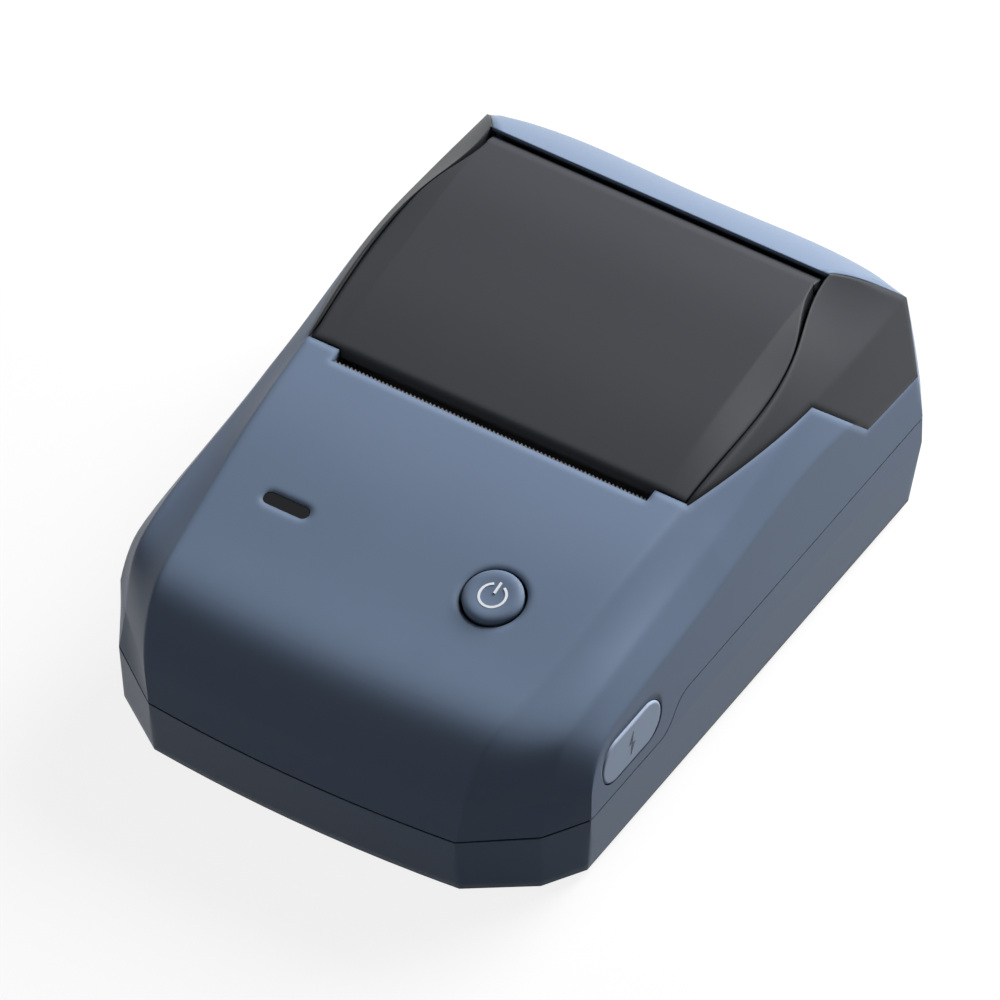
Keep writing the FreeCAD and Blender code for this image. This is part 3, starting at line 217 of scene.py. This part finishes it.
def make_finishes(colours):
    """Every finish, by the slot of the record that it dresses or by its own name."""
    metal = {"Metallic": 1.0}
    return {
        # Moulded ABS from a spark-eroded tool: an even satin with a fine orange-peel grain.
        "body_plastic": mottled(
            "ABS moulded satin blue grey", colours.body, 0.03, 0.35, 0.10, 0.38,
            {"Specular IOR Level": 0.08}, soft=(0.08, 1.8)),
        # Moulded ABS with a finer tool grain: dark, with a broad and quiet sheen.
        "trim_plastic": mottled(
            "ABS moulded satin dark grey", colours.trim, 0.04, 0.30, 0.12, 0.45,
            {"Specular IOR Level": 0.12}, soft=(0.2, 1.5)),
        # Moulded ABS with glass fibre: charcoal with a dry, uneven sheen.
        "inner_plastic": mottled(
            "Glass filled ABS moulded charcoal", "35373B", 0.10, 0.50, 0.15, 0.50, {"IOR": 1.53}),
        # Moulded acetal: waxy white with a low gloss.
        "acetal": mottled(
            "Acetal moulded natural", "E6E3DA", 0.02, 0.40, 0.05, 0.38, {"IOR": 1.48}),
        # Turned brass: warm yellow with fine rings along its axis.
        "brass": mottled(
            "Brass turned", "C9A55A", 0.05, 0.20, 0.10, 0.28, metal, (8, 1, 1)),
        # Ground steel: fine lines around the part and a bright streak.
        "steel": mottled(
            "Steel ground", "B9BABD", 0.05, 0.25, 0.10, 0.28, metal, (1, 10, 10)),
        # Blackened steel: a dark, even skin that hardly shines.
        "dark_steel": mottled(
            "Steel black oxide", "2A2B2E", 0.06, 0.40, 0.06, 0.45, metal),
        # Zinc plate: pale blue grey with soft clouds of crystal.
        "zinc_steel": mottled(
            "Steel zinc plated", "B4B8BE", 0.10, 1.20, 0.06, 0.34, metal),
        # Extruded aluminium: silver with draw lines along its length.
        "aluminium": mottled(
            "Aluminium extruded", "C4C6C9", 0.04, 0.30, 0.08, 0.36, metal, (0.1, 4, 4)),
        # Glazed alumina: ivory under a smooth, hard gloss.
        "alumina": mottled(
            "Alumina glazed", "D9D5C7", 0.03, 0.60, 0.03, 0.18, {"IOR": 1.65}),
        # Ground silicone: near black, dry, with faint grinding rings.
        "roller_rubber": mottled(
            "Silicone rubber ground", "2F3033", 0.08, 0.25, 0.35, 0.65, {"IOR": 1.41}, (5, 1, 1)),
        # Moulded rubber: dull charcoal that scatters the light.
        "foot_rubber": mottled(
            "Rubber moulded", "25272A", 0.10, 0.35, 0.25, 0.75, {"IOR": 1.52}),
        # Moulded elastomer: paler than the housing, dry and even.
        "plug_rubber": mottled(
            "Elastomer moulded pale blue grey", colours.plug, 0.02, 0.35, 0.10, 0.55,
            {"Specular IOR Level": 0.15}),
        # Lacquered glass epoxy: green, darker where the copper is thin below it.
        "circuit_board": mottled(
            "Glass epoxy lacquered green", "0E5A32", 0.25, 2.50, 0.08, 0.30, {"IOR": 1.55}, (1, 3, 1)),
        # Shrunk vinyl: blue film with slow waves and a soft shine.
        "battery_sleeve": mottled(
            "Vinyl sleeve shrunk", "23406E", 0.06, 3.00, 0.20, 0.28, {"IOR": 1.54}),
        # Moulded nylon: black with a slight sheen.
        "switch_plastic": mottled(
            "Nylon moulded black", "1B1C1F", 0.06, 0.40, 0.10, 0.45, {"IOR": 1.53}),
        # Moulded smoked polycarbonate: nearly black with a clear gloss.
        "lamp": mottled(
            "Polycarbonate moulded smoked", "0A0C10", 0.05, 0.80, 0.02, 0.20, {"Specular IOR Level": 0.2}),
        # Screen printed ink: flat, dry and opaque, off-white on the button.
        "ink": mottled(
            "Ink screen printed white", colours.ink, 0.01, 0.30, 0.05, 0.55),
        # The same ink in slate, which shows darker than the plug.
        "dark_ink": mottled(
            "Ink screen printed slate", "3A4656", 0.02, 0.30, 0.05, 0.55),
    }


FINISHES = {}


def dress(*nodes):
    """Give each node the finish of its slot in the record."""
    slots = {row["node"]: row["material_slot"] for row in frame["record"]["subparts"]}
    for name in nodes:
        mesh = frame["nodes"][name].data
        mesh.materials.clear()
        mesh.materials.append(FINISHES[slots[name]])


def new_mesh(shape, name):
    """Turn a bmesh into a mesh and free it."""
    mesh = bpy.data.meshes.new(name)
    shape.to_mesh(mesh)
    shape.free()
    return mesh


def seated(mesh, body, finish):
    """Make a mesh a piece that rides on a body."""
    mesh.materials.append(FINISHES[finish])
    piece = bpy.data.objects.new(mesh.name, mesh)
    bpy.context.scene.collection.objects.link(piece)
    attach(piece, body)
    return piece


def finished(shape, name, body, finish):
    """Close a bmesh, turn its faces outwards and seat it on a body."""
    bmesh.ops.remove_doubles(shape, verts=shape.verts, dist=WELD)
    bmesh.ops.recalc_face_normals(shape, faces=shape.faces)
    return seated(new_mesh(shape, name), body, finish)


# The rear strip, from the lid's gap back to the top of the rear wall

STRIP_FRONT = deep(95.1)
STRIP_TOP = 45.9 * MM
STRIP_FALL = 9.1 * MM
STRIP_CROWN = 0.84 * MM
STRIP_LOWEST = 30.0 * MM
# The rear edge, in millimetres behind the front, by powers of the squared share of the half width.
REAR_EDGE = (106.8, 2.84, -6.92, 2.3)
REAR_HALF = 35.0 * MM
REAR_SLACK = 0.05 * MM
# The ends of the strip, which widens towards the rear.
END_HALF = 27.8 * MM
END_SPREAD = 0.727
END_FADE = 2.0 * MM
# The rise of the rear edge, and how it fades down the wall and towards the corners.
WALL_RISE = 0.5 * MM
WALL_REACH = 6.0 * MM
WALL_HALF = 34.0 * MM
WALL_FADE = 6.0 * MM
# A point this near the top skin lies on it; the rays that find the skin start well above.
SKIN_SLACK = 0.03 * MM
ABOVE = 0.1


def strip_back(x):
    """Y of the strip's rear edge, which bows a little and turns in at the corners."""
    across = min(abs(x) / REAR_HALF, 1.0) ** 2
    return deep(sum(factor * across ** power for power, factor in enumerate(REAR_EDGE)))


def eased(share):
    """A smooth step from 0 to 1."""
    share = min(max(share, 0.0), 1.0)
    return share * share * (3.0 - 2.0 * share)


def strip_level(x, y):
    """Height and slope of a flat strip with a slight crown."""
    length = strip_back(x) - STRIP_FRONT
    share = (y - STRIP_FRONT) / length
    height = STRIP_TOP - STRIP_FALL * share + STRIP_CROWN * 4.0 * share * (1.0 - share)
    return height, (STRIP_CROWN * 4.0 * (1.0 - 2.0 * share) - STRIP_FALL) / length


def strip_weight(x, y):
    """How far a place follows the flat strip: not at its ends, where the wings meet it."""
    end = END_HALF + (y - STRIP_FRONT) * END_SPREAD
    inside = STRIP_FRONT <= y <= strip_back(x) + REAR_SLACK
    return eased((end - abs(x)) / END_FADE) if inside else 0.0


def wall_lift(x, y):
    """Rise of the strip's rear edge, which fades along the strip and down the wall."""
    back = strip_back(x)
    reach = back - STRIP_FRONT if y < back else WALL_REACH
    return WALL_RISE * max(0.0, 1.0 - abs(y - back) / reach) * eased((WALL_HALF - abs(x)) / WALL_FADE)


# The springs behind the print head


# The controls and their signs

HOOD_START, HOOD_LEVEL = 14.9, 31.0
HOOD_RISE, HOOD_RUN = 5.0, 21.6
HOOD_SLOPE = math.atan2(HOOD_RISE, HOOD_RUN)
BUTTON_DEEP = 26.2
BUTTON_PLACE = Vector((
    15.9 * MM, deep(BUTTON_DEEP), (HOOD_LEVEL + (BUTTON_DEEP - HOOD_START) * HOOD_RISE / HOOD_RUN) * MM))
BUTTON_RISE = 0.8 * MM
BUTTON_DISH = 0.25 * MM
PLUG_PLACE = Vector((39.0 * MM, deep(25.8), 17.9 * MM))
ON_BUTTON = Matrix.Translation(BUTTON_PLACE) @ Matrix.Rotation(HOOD_SLOPE, 4, "X")
ON_PLUG = (Matrix.Translation(PLUG_PLACE) @ Matrix.Rotation(math.pi / 2, 4, "Z")
           @ Matrix.Rotation(math.pi / 2, 4, "X"))

# A sign starts a little below its surface, and the ring rises with the dish of the button.
INK_ROOT = 0.02 * MM
DISH_AT_RING = 0.13 * MM
RING_GAP = math.radians(25)
RING_STEPS = 40
BAR_MIDDLE = 0.72
# The bolt's corners, in halves of its height.
BOLT = ((0.16, 1.0), (-0.36, 0.02), (-0.02, 0.02), (-0.16, -1.0), (0.36, -0.02), (0.02, -0.02))


class PRINTER_OT_finishes(bpy.types.Operator):
    """Make the finishes and dress the solids in them"""

    bl_idname = "printer.finishes"
    bl_label = "Finishes"

    def execute(self, context):
        FINISHES.update(make_finishes(context.scene.printer_colours))
        dress(*frame["nodes"])
        frame["nodes"]["hinge_pins"].data.materials[0] = FINISHES["dark_steel"]
        return {"FINISHED"}


class PRINTER_OT_upper_housing(bpy.types.Operator):
    """Stand in for the upper housing, with its rear strip drawn flat"""

    bl_idname = "printer.upper_housing"
    bl_label = "Upper housing"

    def execute(self, context):
        node = frame["nodes"]["upper_shell"]
        normals = [corner.vector.copy() for corner in node.data.corner_normals]
        shell = bmesh.new()
        shell.from_mesh(node.data)
        bmesh.ops.remove_doubles(shell, verts=shell.verts, dist=WELD)
        weights, moves = self.strip_moves(shell)
        self.turn_normals(shell, weights, normals)
        for vert, rise in moves.items():
            vert.co.z += rise
        mesh = new_mesh(shell, "upper_housing")
        mesh.normals_split_custom_set(normals)
        piece = seated(mesh, "housing", "body_plastic")
        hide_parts("upper_shell")
        return {"FINISHED"}

    def strip_moves(self, shell):
        """How far each point near the strip rises, and how flat each point on its skin becomes."""
        skin = BVHTree.FromBMesh(shell)
        weights, moves = {}, {}
        for vert in shell.verts:
            x, y, z = vert.co
            if y < STRIP_FRONT or z < STRIP_LOWEST:
                continue
            top = skin.ray_cast((x, y, ABOVE), (0, 0, -1))[0]
            weight = strip_weight(x, y)
            moves[vert] = weight * (strip_level(x, y)[0] - top.z if top else 0.0) + wall_lift(x, y)
            if top and abs(z - top.z) < SKIN_SLACK and y <= strip_back(x) + 2 * REAR_SLACK:
                weights[vert] = weight
        return weights, moves

    def turn_normals(self, shell, weights, normals):
        """Turn the normals on the strip's skin to those of the flat strip."""
        corner = 0
        for face in shell.faces:
            on_strip = all(vert in weights for vert in face.verts)
            for loop in face.loops:
                if on_strip:
                    x, y = loop.vert.co.xy
                    flat = Vector((0, -strip_level(x, y)[1], 1)).normalized()
                    normals[corner] = normals[corner].lerp(flat, weights[loop.vert]).normalized()
                corner += 1


class PRINTER_OT_pressure_springs(bpy.types.Operator):
    """Stand in for the springs behind the print head with a welded, smooth copy of their coils"""

    bl_idname = "printer.pressure_springs"
    bl_label = "Pressure springs"

    def execute(self, context):
        coils = bmesh.new()
        coils.from_mesh(frame["nodes"]["head_springs"].data)
        piece = finished(coils, "pressure_springs", "housing", "steel")
        piece.data.shade_smooth()
        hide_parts("head_springs")
        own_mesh(piece)
        return {"FINISHED"}


class PRINTER_OT_power_sign(bpy.types.Operator):
    """Print the ring and bar on the power button"""

    bl_idname = "printer.power_sign"
    bl_label = "Power sign"

    def execute(self, context):
        sizes = context.scene.printer_sizes
        radius = sizes.power_sign / 2
        half = sizes.power_line / 2
        level = BUTTON_RISE - BUTTON_DISH
        low, high = level + INK_ROOT, level + DISH_AT_RING + sizes.ink_wall
        corners = [(radius - half, low), (radius + half, low), (radius + half, high), (radius - half, high)]
        start = Matrix.Rotation(math.pi / 2 + RING_GAP, 3, "Z")
        sign = bmesh.new()
        ring = sign.faces.new([sign.verts.new(start @ Vector((x, 0, z))) for x, z in corners])
        bmesh.ops.spin(sign, geom=[ring], axis=(0, 0, 1), cent=(0, 0, 0), angle=2 * math.pi - 2 * RING_GAP,
                       steps=RING_STEPS, use_merge=False, use_duplicate=False)
        bar = bmesh.ops.create_cube(sign, size=1.0)["verts"]
        bmesh.ops.scale(sign, verts=bar, vec=(2 * half, radius, high - low))
        bmesh.ops.translate(sign, verts=bar, vec=(0, radius * BAR_MIDDLE, (low + high) / 2))
        bmesh.ops.transform(sign, verts=sign.verts, matrix=ON_BUTTON)
        finished(sign, "power_sign", "button", "ink")
        return {"FINISHED"}


class PRINTER_OT_charge_sign(bpy.types.Operator):
    """Print the charging bolt on the soft plug"""

    bl_idname = "printer.charge_sign"
    bl_label = "Charging sign"

    def execute(self, context):
        sizes = context.scene.printer_sizes
        unit = sizes.bolt_height / 2
        bolt = bmesh.new()
        face = bolt.faces.new([bolt.verts.new((x * unit, y * unit, -INK_ROOT)) for x, y in BOLT])
        raised = bmesh.ops.extrude_face_region(bolt, geom=[face])
        tops = [item for item in raised["geom"] if isinstance(item, bmesh.types.BMVert)]
        bmesh.ops.translate(bolt, verts=tops, vec=(0, 0, INK_ROOT + sizes.ink_wall))
        bmesh.ops.transform(bolt, verts=bolt.verts, matrix=ON_PLUG)
        finished(bolt, "charge_sign", "plug", "dark_ink")
        return {"FINISHED"}


# Studio

CAMERA_TARGET = Vector((8.77 * MM, -18.76 * MM, 38.03 * MM))
CAMERA_AZIMUTH = math.radians(32.3)
CAMERA_ELEVATION = math.radians(45.0)
CAMERA_LENS = 600.0
CAMERA_SIGHT = 100.0
FRAME_WIDTH = 139.1 * MM

# Each soft box: its name, place, width and power in metres and watts.
LAMPS = (
    ("overhead", (0.12, 0.40, 0.38), 0.32, 6.1),
    ("behind", (0.10, 0.48, 0.15), 0.50, 0.2),
    ("right", (0.18, 0.26, 0.16), 0.20, 0.20),
    ("front", (-0.10, -0.48, 0.38), 0.40, 0.27),
)
LAMP_AIM = Vector((0.0, 0.0, 0.02))
FLOOR_REACH = 6.0
FLOOR_WHITE = 0.85
FLOOR_PAPER = "E8E8E8"
FLOOR_BOUNCE = "5A5A5A"
SKY_SHADE = "EEF2FA"
SKY_STRENGTH = 0.10
WHITE = (1.0, 1.0, 1.0, 1.0)


def looked_at(tree):
    """1 for rays of the camera, of gloss and through glass, and 0 for those that carry light."""
    rays = add_node(tree, "ShaderNodeLightPath")
    direct = add_node(tree, "ShaderNodeMath", {
        0: rays.outputs["Is Camera Ray"], 1: rays.outputs["Is Glossy Ray"]}, operation="MAXIMUM")
    both = add_node(tree, "ShaderNodeMath", {
        0: direct.outputs[0], 1: rays.outputs["Is Transmission Ray"]}, operation="MAXIMUM")
    return both.outputs[0]


class PRINTER_OT_stage(bpy.types.Operator):
    """Set the floor, the lamps, the surroundings and the camera"""

    bl_idname = "printer.stage"
    bl_label = "Studio"

    def execute(self, context):
        scene = context.scene
        scene.view_settings.view_transform = "Standard"
        self.floor(scene)
        self.surroundings(scene)
        for row in LAMPS:
            self.lamp(scene, *row)
        self.camera(scene)
        return {"FINISHED"}

    def floor(self, scene):
        """A pale sheet that keeps the shadow and shows white to the camera."""
        material, tree, output = new_material("Paper matt white")
        dim = add_node(tree, "ShaderNodeBsdfDiffuse", {"Color": linear(FLOOR_BOUNCE)})
        paper = add_node(tree, "ShaderNodeBsdfDiffuse", {"Color": linear(FLOOR_PAPER)})
        white = add_node(tree, "ShaderNodeEmission", {"Color": WHITE, "Strength": 1.0})
        shown = add_node(tree, "ShaderNodeMixShader", {
            "Fac": FLOOR_WHITE, 1: paper.outputs["BSDF"], 2: white.outputs["Emission"]})
        mixed = add_node(tree, "ShaderNodeMixShader", {
            "Fac": looked_at(tree), 1: dim.outputs["BSDF"], 2: shown.outputs["Shader"]})
        tree.links.new(mixed.outputs["Shader"], output.inputs["Surface"])
        sheet = bmesh.new()
        bmesh.ops.create_grid(sheet, x_segments=1, y_segments=1, size=FLOOR_REACH)
        mesh = new_mesh(sheet, "floor")
        mesh.materials.append(material)
        floor = bpy.data.objects.new("floor", mesh)
        scene.collection.objects.link(floor)

    def surroundings(self, scene):
        """Soft grey light from all round, seen as white by the camera."""
        world = bpy.data.worlds.new("studio")
        scene.world = world
        world.use_nodes = True
        tree = world.node_tree
        tree.nodes.clear()
        soft = add_node(tree, "ShaderNodeBackground", {"Color": linear(SKY_SHADE), "Strength": SKY_STRENGTH})
        white = add_node(tree, "ShaderNodeBackground", {"Color": WHITE, "Strength": 1.0})
        mixed = add_node(tree, "ShaderNodeMixShader", {
            "Fac": looked_at(tree), 1: soft.outputs["Background"], 2: white.outputs["Background"]})
        add_node(tree, "ShaderNodeOutputWorld", {"Surface": mixed.outputs["Shader"]})

    def lamp(self, scene, name, place, size, power):
        """A square soft box of white light aimed at the printer."""
        light = bpy.data.lights.new(name, "AREA")
        light.size = size
        light.energy = power
        lamp = bpy.data.objects.new(name, light)
        lamp.location = place
        lamp.rotation_euler = (LAMP_AIM - Vector(place)).to_track_quat("-Z", "Y").to_euler()
        scene.collection.objects.link(lamp)

    def camera(self, scene):
        """A long lens at the photograph's own angle."""
        lens = bpy.data.cameras.new("camera")
        lens.lens = CAMERA_LENS
        lens.clip_end = CAMERA_SIGHT
        distance = FRAME_WIDTH * CAMERA_LENS / lens.sensor_width
        level = math.cos(CAMERA_ELEVATION)
        back = Vector((math.sin(CAMERA_AZIMUTH) * level, -math.cos(CAMERA_AZIMUTH) * level,
                       math.sin(CAMERA_ELEVATION)))
        camera = bpy.data.objects.new("camera", lens)
        camera.location = CAMERA_TARGET + back * distance
        camera.rotation_euler = (-back).to_track_quat("-Z", "Y").to_euler()
        scene.collection.objects.link(camera)
        scene.camera = camera


class PRINTER_PT_panel(bpy.types.Panel):
    """Lists the steps in the sidebar"""

    bl_label = "Label printer"
    bl_idname = "PRINTER_PT_panel"
    bl_space_type = "VIEW_3D"
    bl_region_type = "UI"
    bl_category = "Label printer"

    def draw(self, context):
        for step in STEPS:
            self.layout.operator(step.bl_idname)


GROUPS = (PrinterSizes, PrinterColours)
STEPS = (PRINTER_OT_finishes, PRINTER_OT_upper_housing, PRINTER_OT_pressure_springs,
         PRINTER_OT_power_sign, PRINTER_OT_charge_sign, PRINTER_OT_stage)


def register():
    for item in GROUPS + STEPS + (PRINTER_PT_panel,):
        bpy.utils.register_class(item)
    bpy.types.Scene.printer_sizes = bpy.props.PointerProperty(type=PrinterSizes)
    bpy.types.Scene.printer_colours = bpy.props.PointerProperty(type=PrinterColours)


def unregister():
    del bpy.types.Scene.printer_colours
    del bpy.types.Scene.printer_sizes
    for item in reversed(GROUPS + STEPS + (PRINTER_PT_panel,)):
        bpy.utils.unregister_class(item)


def main():
    register()
    bpy.ops.printer.finishes()
    bpy.ops.printer.upper_housing()
    bpy.ops.printer.pressure_springs()
    bpy.ops.printer.power_sign()
    bpy.ops.printer.charge_sign()
    bpy.ops.printer.stage()


if __name__ == "__main__":
    main()
